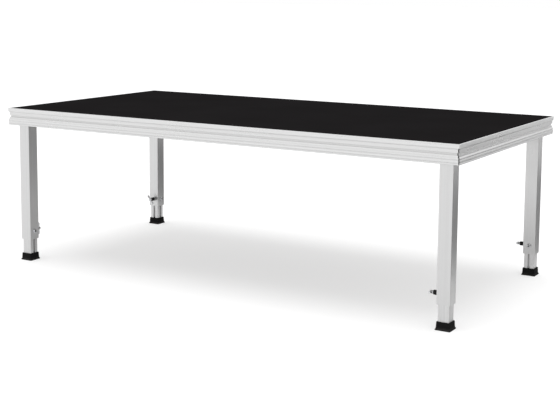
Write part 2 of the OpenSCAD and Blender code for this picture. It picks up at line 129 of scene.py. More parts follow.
def noise(tree, place, per_metre, detail=2.0, roughness=0.5):
    """A soft random pattern between 0 and 1; per_metre says how fine it is."""
    sockets = {"Vector": place, "Scale": per_metre, "Detail": detail, "Roughness": roughness}
    return put(tree, "TexNoise", sockets).outputs["Fac"]


def remap(tree, value, low, high, to_low=0.0, to_high=1.0, shape="LINEAR"):
    """Stretches low..high to to_low..to_high and stops at both ends; the shape SMOOTHSTEP is a soft S."""
    sockets = {"Value": value, "From Min": low, "From Max": high, "To Min": to_low, "To Max": to_high}
    return put(tree, "MapRange", sockets, clamp=True, interpolation_type=shape).outputs["Result"]


def mix_colour(tree, share, first, second):
    """The first colour where share is 0, the second where it is 1."""
    return put(tree, "Mix", {0: share, 6: first, 7: second}, data_type="RGBA").outputs[2]


def grey(level, warmth=0.0):
    """A grey as a colour; warmth adds a little red and takes away as much blue."""
    return (level * (1 + warmth), level, level * (1 - warmth), 1.0)


print("node helpers ready")

# %% [markdown]
# ## Groups and materials
# A node group is a network with a name and with sockets of its own, so that many materials can use one effect, each
# with its own values. Every finish below has one Principled shader. What is the same all over is set on the shader's
# sockets; what changes from place to place is worked out by nodes and joined to them.

# %% Helpers: groups and materials
def start_group(name, inputs, outputs):
    """An empty node group with named sockets: returns the tree, its inputs' sockets and its outputs' sockets."""
    tree = bpy.data.node_groups.new(name, "ShaderNodeTree")
    for label, kind, default in inputs:
        socket = tree.interface.new_socket(label, in_out="INPUT", socket_type="NodeSocket" + kind)
        socket.default_value = default
    for label, kind in outputs:
        tree.interface.new_socket(label, in_out="OUTPUT", socket_type="NodeSocket" + kind)
    return tree, tree.nodes.new("NodeGroupInput").outputs, tree.nodes.new("NodeGroupOutput").inputs


def use_group(tree, group, inputs):
    """Places a group in a material with its own values, and returns its output sockets."""
    return put(tree, "Group", inputs, node_tree=group).outputs


def empty_material(name):
    material = bpy.data.materials.new(name)
    material.use_nodes = True
    material.node_tree.nodes.clear()
    return material, material.node_tree


def start_material(name, sockets):
    """A material with a Principled shader: returns it, its tree, its shader and the place on the surface."""
    material, tree = empty_material(name)
    shader = put(tree, "BsdfPrincipled", sockets)
    put(tree, "OutputMaterial", {"Surface": shader.outputs["BSDF"]})
    return material, tree, shader, put(tree, "TexCoord").outputs["Object"]


def add_bump(tree, shader, height, strength, depth):
    """Tilts the shading as if the height pattern were as deep as depth, in metres."""
    bump = put(tree, "Bump", {"Strength": strength, "Distance": depth, "Height": height})
    tree.links.new(bump.outputs["Normal"], shader.inputs["Normal"])


print("material helpers ready")

# %% [markdown]
# ## Shared effect: drawn lines
# Rails and tubes are aluminium that was pressed through a steel die. The die leaves fine lines that run the whole
# length of the bar, and broader pale and dark streaks along with them. An image could show this, but a noise that
# is stretched along one direction does it without any seams. It is a group, because the metals and the plywood below
# all use it, each with its own direction.

# %% Node group: lines along an extrusion
STRETCH, LINES_PER_STREAK = 0.993, 14.0
drawn_lines, given, result = start_group(
    "drawn_lines",
    [("Position", "Vector", (0, 0, 0)), ("Along", "Vector", (1, 0, 0)), ("Lines per metre", "Float", 1800.0)],
    [("Height", "Float"), ("Streak", "Float")],
)
distance = vector_maths(drawn_lines, "DOT_PRODUCT", given["Position"], given["Along"], out="Value")
taken_out = scaled(drawn_lines, given["Along"], maths(drawn_lines, "MULTIPLY", distance, STRETCH))
stretched = vector_maths(drawn_lines, "SUBTRACT", given["Position"], taken_out)
fine = noise(drawn_lines, stretched, given["Lines per metre"])
streaks_per_metre = maths(drawn_lines, "DIVIDE", given["Lines per metre"], LINES_PER_STREAK)
broad = noise(drawn_lines, stretched, streaks_per_metre, detail=3.0, roughness=0.6)
drawn_lines.links.new(fine, result["Height"])
drawn_lines.links.new(remap(drawn_lines, broad, 0.3, 0.7), result["Streak"])
print("group:", drawn_lines.name, len(drawn_lines.nodes), "nodes")

# %% [markdown]
# ## Shared effect: cloudy tone
# No real surface has one tone all over. Anodising, moulding and handling leave soft clouds, which show mostly as a
# change of gloss. A low-frequency noise between two values is enough, and every finish uses it for its roughness.

# %% Node group: soft clouds between two values
cloudy, given, result = start_group(
    "cloudy_tone",
    [("Position", "Vector", (0, 0, 0)), ("Clouds per metre", "Float", 6.0),
     ("Low", "Float", 0.3), ("High", "Float", 0.5)],
    [("Value", "Float"), ("Mask", "Float")],
)
clouds = noise(cloudy, given["Position"], given["Clouds per metre"], detail=4.0, roughness=0.55)
mask = remap(cloudy, clouds, 0.32, 0.68)
cloudy.links.new(remap(cloudy, mask, 0.0, 1.0, given["Low"], given["High"]), result["Value"])
cloudy.links.new(mask, result["Mask"])
print("group:", cloudy.name, len(cloudy.nodes), "nodes")

# %% [markdown]
# ## Shared effect: worn edges and painted edge highlights
# Decks are stacked, carried and slid into vans, so their edges are rubbed brighter than their faces. On the anodised
# rails and legs the brighter edge is also a painted highlight: a thin line of light, such as a rounded edge would
# catch.
# The Bevel node gives the normal that a rounded edge would have; where it turns away from the true normal, there is
# an edge. A noise breaks the line up, because nothing wears evenly.

# %% Node group: a mask along rubbed edges and painted edge highlights
WEAR_PATCHES_PER_METRE = 90.0
edge_wear_and_highlight, given, result = start_group(
    "rubbed_and_highlit_edges",
    [("Position", "Vector", (0, 0, 0)), ("Radius", "Float", 0.001), ("Amount", "Float", 0.6)],
    [("Mask", "Float")],
)
rounded = put(edge_wear_and_highlight, "Bevel", {"Radius": given["Radius"]}, samples=4).outputs["Normal"]
likeness = vector_maths(edge_wear_and_highlight, "DOT_PRODUCT", rounded, surface_normal(edge_wear_and_highlight), out="Value")
turned_away = maths(edge_wear_and_highlight, "SUBTRACT", 1.0, likeness)
patches = noise(edge_wear_and_highlight, given["Position"], WEAR_PATCHES_PER_METRE, detail=3.0)
edge, worn = remap(edge_wear_and_highlight, turned_away, 0.02, 0.2), remap(edge_wear_and_highlight, patches, 0.35, 0.6)
broken = maths(edge_wear_and_highlight, "MULTIPLY", edge, worn)
edge_wear_and_highlight.links.new(maths(edge_wear_and_highlight, "MULTIPLY", broken, given["Amount"]), result["Mask"])
print("group:", edge_wear_and_highlight.name, len(edge_wear_and_highlight.nodes), "nodes")

# %% [markdown]
# ## Shared effect: settled dust
# Dust lies on what faces up, and the floor throws a little more of it at the lowest few centimetres. The mask asks
# two questions of each point: does it face up, and how near is the floor? A noise again keeps the answer uneven.

# %% Node group: dust on ledges and near the floor
SPECKS_PER_METRE = 160.0
settled_dust, given, result = start_group(
    "settled_dust",
    [("Position", "Vector", (0, 0, 0)), ("Reach", "Float", 0.03), ("Amount", "Float", 0.3)],
    [("Mask", "Float")],
)
facing_up = one_axis(settled_dust, surface_normal(settled_dust), "Z")
height = one_axis(settled_dust, given["Position"], "Z")
share_of_reach = maths(settled_dust, "DIVIDE", height, given["Reach"])
low_down = maths(settled_dust, "SUBTRACT", 1.0, remap(settled_dust, share_of_reach, 0.0, 1.0))
lying = maths(settled_dust, "MAXIMUM", remap(settled_dust, facing_up, 0.6, 1.0, 0.0, 0.7), low_down)
specks = noise(settled_dust, given["Position"], SPECKS_PER_METRE, detail=5.0, roughness=0.7)
uneven = maths(settled_dust, "MULTIPLY", lying, remap(settled_dust, specks, 0.35, 0.75))
settled_dust.links.new(maths(settled_dust, "MULTIPLY", uneven, given["Amount"]), result["Mask"])
print("group:", settled_dust.name, len(settled_dust.nodes), "nodes")

# %% [markdown]
# ## Shared effect: painted shade in hollows
# Light reaches deep hollows less, so they look dark: the grooves of the rails, the channels of the inner tubes and
# the key holes of the screws. This shade is painted into the colour. The Ambient Occlusion node counts how much of
# the view from a point is blocked by its own surroundings, so a mask made from it finds these hollows by itself.

# %% Node group: a mask for painted shade in hollows
painted_hollow_shade, given, result = start_group(
    "painted_hollow_shade",
    [("Reach", "Float", 0.008), ("Open", "Float", 0.75), ("Amount", "Float", 0.7)],
    [("Mask", "Float")],
)
around = put(painted_hollow_shade, "AmbientOcclusion", {"Distance": given["Reach"]}, samples=8, only_local=True)
openness = remap(painted_hollow_shade, around.outputs["AO"], 0.25, given["Open"])
blocked = maths(painted_hollow_shade, "SUBTRACT", 1.0, openness)
painted_hollow_shade.links.new(maths(painted_hollow_shade, "MULTIPLY", blocked, given["Amount"]), result["Mask"])
print("group:", painted_hollow_shade.name, len(painted_hollow_shade.nodes), "nodes")

# %% [markdown]
# ## Anodised aluminium for the rails and tubes
# Anodising grows a thin clear oxide on aluminium. It scatters light a little, so the metal looks satin and almost
# white rather than like a mirror. The recipe is one function, because rails and legs differ only in the direction of
# their lines, in their tone and gloss, in how much their edges are rubbed and lit by a painted highlight, and in how
# much shade is painted into their grooves.
# Metallic stays just under 1 for the scatter.

# %% Material: anodised extrusions
ALONG_X, ALONG_Y, UPRIGHT = (1, 0, 0), (0, 1, 0), (0, 0, 1)
RAIL_LOOK = {"tone": 0.82, "rough": 0.30, "metallic": 0.90, "wear_and_highlight": 0.6}


def anodised(name, along, tone, rough, metallic, wear_and_highlight, hollow_shade):
    material, tree, shader, position = start_material(name, {"Metallic": metallic, "Specular IOR Level": 0.4})
    lines = use_group(tree, drawn_lines, {"Position": position, "Along": along, "Lines per metre": 1700.0})
    gloss = use_group(tree, cloudy, {"Position": position, "Clouds per metre": 5.0,
                                     "Low": rough - 0.04, "High": rough + 0.04})
    rubbed = use_group(tree, edge_wear_and_highlight, {"Position": position, "Radius": 1.2 * MM, "Amount": wear_and_highlight})
    dust = use_group(tree, settled_dust, {"Position": position, "Reach": 0.02, "Amount": 0.12})
    hollows = use_group(tree, painted_hollow_shade, {"Reach": 7.0 * MM, "Open": 0.98, "Amount": hollow_shade})
    streaked = mix_colour(tree, lines["Streak"], grey(tone * 0.965), grey(tone * 1.02))
    # The colour is lighter along the edges: partly rubbed metal, partly a painted highlight as if a rounded edge
    # caught the light.
    bright = mix_colour(tree, rubbed["Mask"], streaked, grey(min(0.95, tone * 1.12)))
    dusty = mix_colour(tree, dust["Mask"], bright, grey(tone * 0.75, 0.03))
    # Painted shade: the hollow mask darkens the colour in the grooves.
    tree.links.new(mix_colour(tree, hollows["Mask"], dusty, grey(tone * 0.35, 0.02)), shader.inputs["Base Color"])
    streak_gloss = remap(tree, lines["Streak"], 0.0, 1.0, -0.03, 0.03)
    tree.links.new(maths(tree, "ADD", gloss["Value"], streak_gloss), shader.inputs["Roughness"])
    add_bump(tree, shader, lines["Height"], strength=0.12, depth=0.05 * MM)
    return material


long_rail_finish = anodised("rail_anodised_long", ALONG_X, **RAIL_LOOK, hollow_shade=0.6)
short_rail_finish = anodised("rail_anodised_short", ALONG_Y, **RAIL_LOOK, hollow_shade=0.15)
leg_finish = anodised("leg_anodised", UPRIGHT, tone=0.76, rough=0.33, metallic=0.97, wear_and_highlight=0.5, hollow_shade=0.0)
print("anodised:", [m.name for m in (long_rail_finish, short_rail_finish, leg_finish)])

# %% [markdown]
# ## Bare aluminium for the inner tubes and the hidden frame
# The inner tubes slide in and out under a clamp screw, and the beams and sockets under the deck are never seen, so
# makers leave both as they come from the mill. Bare metal oxidises and is soon scratched, so it is a little duller
# than anodised metal. On the inner tubes, long scuffs from sliding lie on top: the same lines, cut off hard so that
# only the deepest remain.

# %% Material: mill finish
def mill(name, along, tone, rough, scuffs, shade_in_hollows):
    material, tree, shader, position = start_material(name, {"Metallic": 1.0})
    lines = use_group(tree, drawn_lines, {"Position": position, "Along": along, "Lines per metre": 1300.0})
    gloss = use_group(tree, cloudy, {"Position": position, "Clouds per metre": 9.0,
                                     "Low": rough - 0.05, "High": rough + 0.07})
    dust = use_group(tree, settled_dust, {"Position": position, "Reach": 0.05, "Amount": 0.15})
    hollows = use_group(tree, painted_hollow_shade, {"Reach": 9.0 * MM, "Open": 0.8, "Amount": shade_in_hollows})
    scuffed = remap(tree, lines["Height"], 0.60, 0.66, 0.0, scuffs)
    streaked = mix_colour(tree, lines["Streak"], grey(tone * 0.94), grey(tone * 1.03))
    rubbed = mix_colour(tree, scuffed, streaked, grey(tone * 0.80))
    # Painted shade: the hollow mask darkens the colour in the channels and recesses.
    hollow_shaded = mix_colour(tree, hollows["Mask"], rubbed, grey(0.10, 0.03))
    tree.links.new(mix_colour(tree, dust["Mask"], hollow_shaded, grey(tone * 0.7, 0.04)), shader.inputs["Base Color"])
    scuff_gloss = maths(tree, "MULTIPLY", scuffed, 0.2)
    tree.links.new(maths(tree, "ADD", gloss["Value"], scuff_gloss), shader.inputs["Roughness"])
    add_bump(tree, shader, lines["Height"], strength=0.2, depth=0.06 * MM)
    return material


inner_finish = mill("inner_mill", UPRIGHT, tone=0.78, rough=0.38, scuffs=0.6, shade_in_hollows=0.75)
beam_finish = mill("beam_mill", ALONG_Y, tone=0.66, rough=0.42, scuffs=0.2, shade_in_hollows=0.2)
socket_finish = mill("socket_mill", UPRIGHT, tone=0.66, rough=0.46, scuffs=0.2, shade_in_hollows=0.3)
print("mill finish:", [m.name for m in (inner_finish, beam_finish, socket_finish)])

# %% [markdown]
# ## Zinc for the screws and the handle bars
# Screws, inserts and cross bars are steel under bright zinc. Zinc is smoother than the aluminium and slightly blue,
# with small cloudy spangles, and where a hand or a tool turns it, the edges go dull. A fine cell pattern gives the
# spangles.

# %% Material: bright zinc
SPANGLES_PER_METRE = 420.0
zinc_finish, tree, shader, position = start_material("bright_zinc", {"Metallic": 1.0})
cells = put(tree, "TexVoronoi", {"Vector": position, "Scale": SPANGLES_PER_METRE}).outputs["Color"]
spangle = put(tree, "SeparateColor", {0: cells}).outputs[0]
gloss = use_group(tree, cloudy, {"Position": position, "Clouds per metre": 60.0, "Low": 0.2, "High": 0.34})
rubbed = use_group(tree, edge_wear_and_highlight, {"Position": position, "Radius": 0.6 * MM, "Amount": 0.5})
hollows = use_group(tree, painted_hollow_shade, {"Reach": 9.0 * MM, "Open": 0.95, "Amount": 0.95})
plate = mix_colour(tree, spangle, (0.70, 0.71, 0.73, 1), (0.78, 0.79, 0.80, 1))
dull = mix_colour(tree, rubbed["Mask"], plate, grey(0.58))
# Painted shade: the hollow mask darkens the key holes almost to black.
tree.links.new(mix_colour(tree, hollows["Mask"], dull, grey(0.03)), shader.inputs["Base Color"])
dull_gloss = maths(tree, "MULTIPLY", rubbed["Mask"], 0.15)
tree.links.new(maths(tree, "ADD", gloss["Value"], dull_gloss), shader.inputs["Roughness"])
add_bump(tree, shader, spangle, strength=0.08, depth=0.03 * MM)
print("zinc:", len(tree.nodes), "nodes")

# %% [markdown]
# ## The anti-slip film
# The walking surface is a black resin film, hot-pressed on to the plywood with a pattern of small hexagons that
# shoes can grip. A hexagon grid takes only a little arithmetic: fold the plane into two sets of rectangles whose
# middles are the hexagons' middles, keep the nearer middle, and measure how far the hexagon's edge is from it. The
# film is dull, so almost nothing of the bright studio shows in it, even at a low angle.

# %% Material: black film with pressed hexagons
HEXAGON = 4.5 * MM
ROOT_3 = math.sqrt(3.0)
CELL, HALF_CELL, LEVEL_ONLY = (1.0, ROOT_3, 1.0), (0.5, ROOT_3 / 2, 0.5), (1.0, 1.0, 0.0)
SLANTED_SIDE = (0.5, ROOT_3 / 2, 0)
film_finish, tree, shader, position = start_material("antislip_film", {"Metallic": 0.0, "Specular IOR Level": 0.0})


def from_middle(place):
    """How a place lies from the middle of its rectangle, after all rectangles are folded into one."""
    folded = vector_maths(tree, "WRAP", place, CELL, (0, 0, 0))
    return vector_maths(tree, "MULTIPLY", vector_maths(tree, "SUBTRACT", folded, HALF_CELL), LEVEL_ONLY)


flat = vector_maths(tree, "MULTIPLY", scaled(tree, position, 1 / HEXAGON), LEVEL_ONLY)
first, second = from_middle(flat), from_middle(vector_maths(tree, "SUBTRACT", flat, HALF_CELL))
first_far, second_far = (vector_maths(tree, "LENGTH", v, out="Value") for v in (first, second))
second_nearer = maths(tree, "LESS_THAN", second_far, first_far)
nearer = put(tree, "Mix", {0: second_nearer, 4: first, 5: second}, data_type="VECTOR").outputs[1]
quarter = vector_maths(tree, "ABSOLUTE", nearer)
across = vector_maths(tree, "DOT_PRODUCT", quarter, SLANTED_SIDE, out="Value")
to_edge = maths(tree, "MAXIMUM", one_axis(tree, quarter, "X"), across)
button = remap(tree, to_edge, 0.36, 0.46, 1.0, 0.0)
print("hexagon grid:", round(HEXAGON / MM, 1), "mm across flats")

# %% [markdown]
# ## Traffic on the film
# A deck that has been used is not evenly black: grit scratches it in all directions and feet leave faint paler
# clouds. Both stay close to the photographed black, so they show as a slight change of sheen and not as dirt.

# %% Finish the film's material
GRIT_PER_METRE, GRIT_SHARE = 900.0, 0.25
gloss = use_group(tree, cloudy, {"Position": position, "Clouds per metre": 3.0, "Low": 0.72, "High": 0.86})
dust = use_group(tree, settled_dust, {"Position": position, "Reach": 0.01, "Amount": 0.05})
grit = noise(tree, position, GRIT_PER_METRE)
walked = mix_colour(tree, gloss["Mask"], (0.0077, 0.0071, 0.0074, 1), (0.0091, 0.0084, 0.0088, 1))
tree.links.new(mix_colour(tree, dust["Mask"], walked, grey(0.05, 0.02)), shader.inputs["Base Color"])
tree.links.new(gloss["Value"], shader.inputs["Roughness"])
relief = maths(tree, "ADD", button, maths(tree, "MULTIPLY", grit, GRIT_SHARE))
add_bump(tree, shader, relief, strength=0.35, depth=0.3 * MM)
print("film:", len(tree.nodes), "nodes")

# %% [markdown]
# ## Plywood under the film
# From below, the deck shows the other face of the board: birch plywood under a thin dark brown resin film, through
# which the grain still shows. At the edges the thin veneers would show as stripes, so the same material makes
# stripes by height wherever a face stands upright.

# %% Material: film-faced plywood
VENEER = 1.35 * MM
plywood_finish, tree, shader, position = start_material("plywood", {"Metallic": 0.0, "Specular IOR Level": 0.35})
grain = use_group(tree, drawn_lines, {"Position": position, "Along": ALONG_X, "Lines per metre": 420.0})
pores = remap(tree, grain["Height"], 0.55, 0.72, 0.0, 0.5)
figure = mix_colour(tree, grain["Streak"], (0.085, 0.052, 0.030, 1), (0.135, 0.084, 0.050, 1))
figure = mix_colour(tree, pores, figure, (0.05, 0.030, 0.018, 1))
layer = maths(tree, "PINGPONG", one_axis(tree, position, "Z"), VENEER)
pale_layer = remap(tree, layer, VENEER * 0.4, VENEER * 0.6)
stripes = mix_colour(tree, pale_layer, (0.42, 0.29, 0.17, 1), (0.62, 0.46, 0.29, 1))
level = remap(tree, maths(tree, "ABSOLUTE", one_axis(tree, surface_normal(tree), "Z")), 0.4, 0.6)
tree.links.new(mix_colour(tree, level, stripes, figure), shader.inputs["Base Color"])
gloss = use_group(tree, cloudy, {"Position": position, "Clouds per metre": 4.0, "Low": 0.38, "High": 0.52})
tree.links.new(gloss["Value"], shader.inputs["Roughness"])
add_bump(tree, shader, grain["Height"], strength=0.15, depth=0.1 * MM)
print("plywood:", len(tree.nodes), "nodes")

# %% [markdown]
# ## Moulded plastic and rubber
# The clamp hubs, guide plugs and knob grips are black nylon, moulded in a spark-eroded tool, so they carry a very
# fine matt grain. The feet are softer: black rubber, duller, with floor dust on the lip. One recipe serves both,
# with the grain, gloss and dust as its values.

# %% Material: black nylon and black rubber
def moulded(name, tone, rough, specular, grain_per_metre, relief, dust_amount):
    material, tree, shader, position = start_material(name, {"Metallic": 0.0, "Specular IOR Level": specular})
    gloss = use_group(tree, cloudy, {"Position": position, "Clouds per metre": 25.0,
                                     "Low": rough - 0.06, "High": rough + 0.06})
    dust = use_group(tree, settled_dust, {"Position": position, "Reach": 0.012, "Amount": dust_amount})
    rubbed = use_group(tree, edge_wear_and_highlight, {"Position": position, "Radius": 0.8 * MM, "Amount": 0.35})
    body = mix_colour(tree, gloss["Mask"], grey(tone * 0.85), grey(tone * 1.15))
    polished = mix_colour(tree, rubbed["Mask"], body, grey(tone * 2.2))
    tree.links.new(mix_colour(tree, dust["Mask"], polished, grey(0.11, 0.05)), shader.inputs["Base Color"])
    tree.links.new(gloss["Value"], shader.inputs["Roughness"])
    add_bump(tree, shader, noise(tree, position, grain_per_metre), strength=relief, depth=0.08 * MM)
    return material


nylon_finish = moulded("black_nylon", tone=0.006, rough=0.50, specular=0.25, grain_per_metre=1500.0,
                       relief=0.25, dust_amount=0.06)
rubber_finish = moulded("foot_rubber", tone=0.006, rough=0.80, specular=0.15, grain_per_metre=700.0,
                        relief=0.3, dust_amount=0.4)
print("moulded:", nylon_finish.name, rubber_finish.name)

# %% [markdown]
# ## Dress the CAD nodes
# Most CAD nodes already have the right shape and only need their finish. Perfectly sharp edges give CAD away,
# though: real edges are rounded enough to catch a thin line of light. A Weld modifier joins the seams that the file
# format leaves between faces, a Bevel modifier rounds what is sharper than 25 degrees, and weighted normals keep
# the large faces flat. Modifiers leave the node's own mesh as it came.

# %% Assign finishes and soften edges
FINISHES = {
    "deck_board": plywood_finish, "antislip_film": film_finish, "front_rail": long_rail_finish,
    "rear_rail": long_rail_finish, "left_rail": short_rail_finish, "right_rail": short_rail_finish,
    "beam_brackets": socket_finish, "bracket_screws": zinc_finish, "board_screws": zinc_finish,
    "corner_angles": socket_finish, "cross_beam": beam_finish, "corner_socket": socket_finish,
    "socket_knob": nylon_finish, "outer_tube": leg_finish, "thread_inserts": zinc_finish,
    "guide_screw": zinc_finish, "inner_tube": inner_finish, "guide_plug": nylon_finish, "foot": rubber_finish,
    "clamp_screw": zinc_finish, "clamp_hub": nylon_finish, "clamp_bar": zinc_finish,
}
EDGE_WIDTHS_MM = {
    "rail": 0.25, "outer_tube": 0.35, "inner_tube": 0.25, "corner_socket": 0.6, "clamp": 0.3, "guide_screw": 0.3,
    "thread_inserts": 0.2, "beam": 0.5, "guide_plug": 0.5,
}
SEAM, SHARP_ANGLE, BEVEL_SEGMENTS = 0.002 * MM, math.radians(25), 2


def soften(node, width):
    node.modifiers.new("join_seams", "WELD").merge_threshold = SEAM
    bevel = node.modifiers.new("soft_edges", "BEVEL")
    bevel.width, bevel.segments = width, BEVEL_SEGMENTS
    bevel.limit_method, bevel.angle_limit = "ANGLE", SHARP_ANGLE
    node.modifiers.new("flat_faces", "WEIGHTED_NORMAL").weight = 100


softened = 0
for name, node in nodes.items():
    finish = next(f for start, f in FINISHES.items() if name.startswith(start))
    node.data.materials.clear()
    node.data.materials.append(finish)
    width = next((w for part, w in EDGE_WIDTHS_MM.items() if part in name), None)
    if width:
        soften(node, width * MM)
        softened += 1
print("dressed", len(nodes), "nodes, softened", softened)

# %% [markdown]
# ## A way to make new pieces
# Some small pieces need more shape than the CAD gives them. Each is built ring by ring: a ring of points is laid at
# every step of a profile, and neighbouring rings are joined with four-sided faces. Boots, grips, threads and screws
# can all be made this way, so one helper serves them. A second helper finishes a piece: smooth shading that stops at
# real edges, a finish and the body that it moves with.

# %% Helpers: rings to a mesh, and a mesh to a piece
def skin(mesh, rings):
    """Joins rings of points with quads, and closes both ends."""
    loops = [[mesh.verts.new(point) for point in ring] for ring in rings]
    for low, high in zip(loops, loops[1:]):
        for i in range(len(low)):
            mesh.faces.new((low[i - 1], low[i], high[i], high[i - 1]))
    mesh.faces.new(loops[0])
    mesh.faces.new(loops[-1])


def add_piece(name, mesh, finish, body, crease=38):
    """Makes an object of a mesh; edges that bend by more than crease degrees stay sharp."""
    bmesh.ops.recalc_face_normals(mesh, faces=mesh.faces)
    data = bpy.data.meshes.new(name)
    mesh.to_mesh(data)
    mesh.free()
    for face in data.polygons:
        face.use_smooth = True
    data.set_sharp_from_angle(angle=math.radians(crease))
    data.materials.append(finish)
    piece = bpy.data.objects.new(name, data)
    bpy.context.scene.collection.objects.link(piece)
    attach(piece, body)
    return piece


def circle(radius, height, points):
    turns = (2 * math.pi * i / points for i in range(points))
    return [Vector((radius * math.cos(turn), radius * math.sin(turn), height)) for turn in turns]


print("mesh helpers ready")

# %% [markdown]
# ## Rubber boots
# The feet are moulded rubber boots, pushed over the ends of the inner tubes. The CAD foot is made of straight steps;
# in rubber every step is a soft curve, and the sole has grooves so that it grips. A boot is a stack of rounded
# squares, from the middle of the sole out to the lip, up the flare and the collar, over the rim and down inside.

# %% Boots in place of the CAD feet
BOOT_CORNER, TUBE_PLAY, BOOT_FLOOR, GROOVE = 4.0, 0.2, 5.9, 1.4


def rounded_square(side, height, per_corner=7):
    """A ring in millimetres: a square with rounded corners."""
    radius = min(BOOT_CORNER, side / 4)
    ring = []
    for quarter, (sx, sy) in enumerate(((1, 1), (-1, 1), (-1, -1), (1, -1))):
        for step in range(per_corner):
            turn = math.radians(90 * (quarter + step / (per_corner - 1)))
            ring.append(Vector((sx * (side / 2 - radius) + radius * math.cos(turn),
                                sy * (side / 2 - radius) + radius * math.sin(turn), height)))
    return ring


boot_low, boot_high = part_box("foot_front_left")
lip, top, bore = (boot_high - boot_low).x / MM, boot_high.z / MM, inner_side / MM + TUBE_PLAY
sole = [(13, 0), (14, GROOVE), (17, GROOVE), (18, 0), (30, 0), (31, GROOVE), (34, GROOVE), (35, 0), (45, 0),
        (lip - 1.4, 0)]
flare = [(lip - 0.4, 0.4), (lip, 1.2), (lip, 2.5), (lip - 0.3, 3.1), (lip - 1.6, 4.0), (lip - 3.3, 5.2),
         (lip - 4.6, 6.6), (lip - 5.3, 8.2), (lip - 5.6, 10.0)]
collar = [(lip - 7.2, top - 2.4), (lip - 7.5, top - 1.2), (lip - 8.4, top - 0.3), (lip - 9.6, top)]
inside = [(bore + 2.2, top), (bore + 0.8, top - 0.3), (bore, top - 1.2), (bore, BOOT_FLOOR)]
for corner in CORNERS:
    mesh = bmesh.new()
    axis = leg_axis[corner]
    skin(mesh, [[point * MM + Vector((axis.x, axis.y, 0)) for point in rounded_square(side, height)]
                for side, height in sole + flare + collar + inside])
    boot = add_piece(f"boot_{corner}", mesh, rubber_finish, f"inner_leg_{corner}")
    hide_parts(f"foot_{corner}")
print("boots:", len(CORNERS), "lip", round(lip, 1), "mm, height", round(top, 1), "mm")

# %% [markdown]
# ## Star grips
# The knob that locks a leg into its socket has a five-lobed nylon grip, so that a gloved hand can turn it. The CAD
# grip is cut straight through with sharp edges. Here the outline is a cosine with five waves, which gives round lobes
# and round hollows at once, drawn in towards both ends, with a low cap in the middle of the outer end.

# %% Grips in place of the CAD knobs
LOBES, LOBE_RADIUS, HOLLOW_RADIUS = 5, 18.0, 12.5
GRIP_THICK, RING_POINTS = 18.0, 100
GRIP_PROFILE = ((4.0, 0), (2.0, 0.2), (0.7, 1.0), (0.1, 2.4), (0, 4), (0, 14), (0.1, 15.4), (0.7, 16.7),
                (1.6, 17.4), (2.6, 17.5))
CAP_PROFILE = ((9.3, 17.3), (8.7, 16.6), (8.1, 16.6), (7.7, 17.5), (7.0, 17.9), (3.0, GRIP_THICK))


def lobed(inset, height):
    """A ring in millimetres: lobes with hollows between them, drawn in by the inset."""
    half_way, swing = (LOBE_RADIUS + HOLLOW_RADIUS) / 2, (LOBE_RADIUS - HOLLOW_RADIUS) / 2
    ring = []
    for point in circle(1.0, height, RING_POINTS):
        reach = half_way - swing * math.cos(LOBES * math.atan2(point.y, point.x)) - inset
        ring.append(Vector((point.x * reach, point.y * reach, height)))
    return ring


def outwards(corner, start):
    """A function that turns +Z of a ring, in millimetres, towards the deck's middle.

    The ring's zero comes to lie level with the knob, start millimetres from the leg's middle.
    """
    side = -1.0 if leg_axis[corner].x > 0 else 1.0
    place = Vector((leg_axis[corner].x, leg_axis[corner].y, middle(f"socket_knob_{corner}").z))
    return lambda p: place + Vector((side * (start + p.z), side * p.y, -p.x)) * MM


knob_low, knob_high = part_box("socket_knob_front_left")
stud_tip, grip_end = ((edge - leg_axis["front_left"].x) / MM for edge in (knob_low.x, knob_high.x))
grip_rings = [lobed(inset, height) for inset, height in GRIP_PROFILE]
grip_rings += [circle(radius, height, RING_POINTS) for radius, height in CAP_PROFILE]
for corner in CORNERS:
    mesh = bmesh.new()
    turned = outwards(corner, grip_end - GRIP_THICK)
    skin(mesh, [[turned(point) for point in ring] for ring in grip_rings])
    grip = add_piece(f"star_grip_{corner}", mesh, nylon_finish, f"knob_{corner}")
    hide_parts(f"socket_knob_{corner}")
print("grips:", len(CORNERS), "reaching", round(grip_end, 1), "mm from the leg's middle")

# %% [markdown]
# ## Threaded studs
# Each grip turns a threaded stud that presses on the leg. A thread could be a bump, but its outline shows as soon as
# the light is behind it. A thread is a bar whose radius rises and falls once for every pitch along its axis, and the
# same rise starts a little later at each angle round it: that one rule makes the helix.

# %% Studs
STUD_RADIUS, PITCH, THREAD_DEPTH = 4.98, 1.5, 0.75
STEP, BARE_STEPS, THREAD_POINTS = 0.25, 3, 30


def thread_ring(height, root):
    """A ring of the thread in millimetres; a root of 1 leaves the bare core, as at the stud's tip."""
    ring = []
    for point in circle(1.0, height, THREAD_POINTS):
        phase = (height / PITCH - math.atan2(point.y, point.x) / (2 * math.pi)) % 1.0
        reach = STUD_RADIUS - THREAD_DEPTH * max(root, abs(2 * phase - 1))
        ring.append(Vector((point.x * reach, point.y * reach, height)))
    return ring


stud_length = grip_end - GRIP_THICK / 2 - stud_tip
steps = int(stud_length / STEP)
stud_rings = [thread_ring(i * STEP, 1.0 if i < BARE_STEPS else 0.0) for i in range(steps + 1)]
for corner in CORNERS:
    mesh = bmesh.new()
    turned = outwards(corner, stud_tip)
    skin(mesh, [[turned(point) for point in ring] for ring in stud_rings])
    add_piece(f"knob_stud_{corner}", mesh, zinc_finish, f"knob_{corner}", crease=60)
print("studs:", round(stud_length, 1), "mm long, pitch", PITCH, "mm")

# %% [markdown]
# ## Frame screws
# The screws under the deck have round heads with a hexagon for the key. Their places are already in the CAD nodes:
# once the seams are welded, every screw is an island of joined points. The island's longest side is its axis, and
# its wider end is its head. So each finer screw is built exactly where a plain one was.

# %% Read the screws from a CAD node
END_SHARE = 0.49


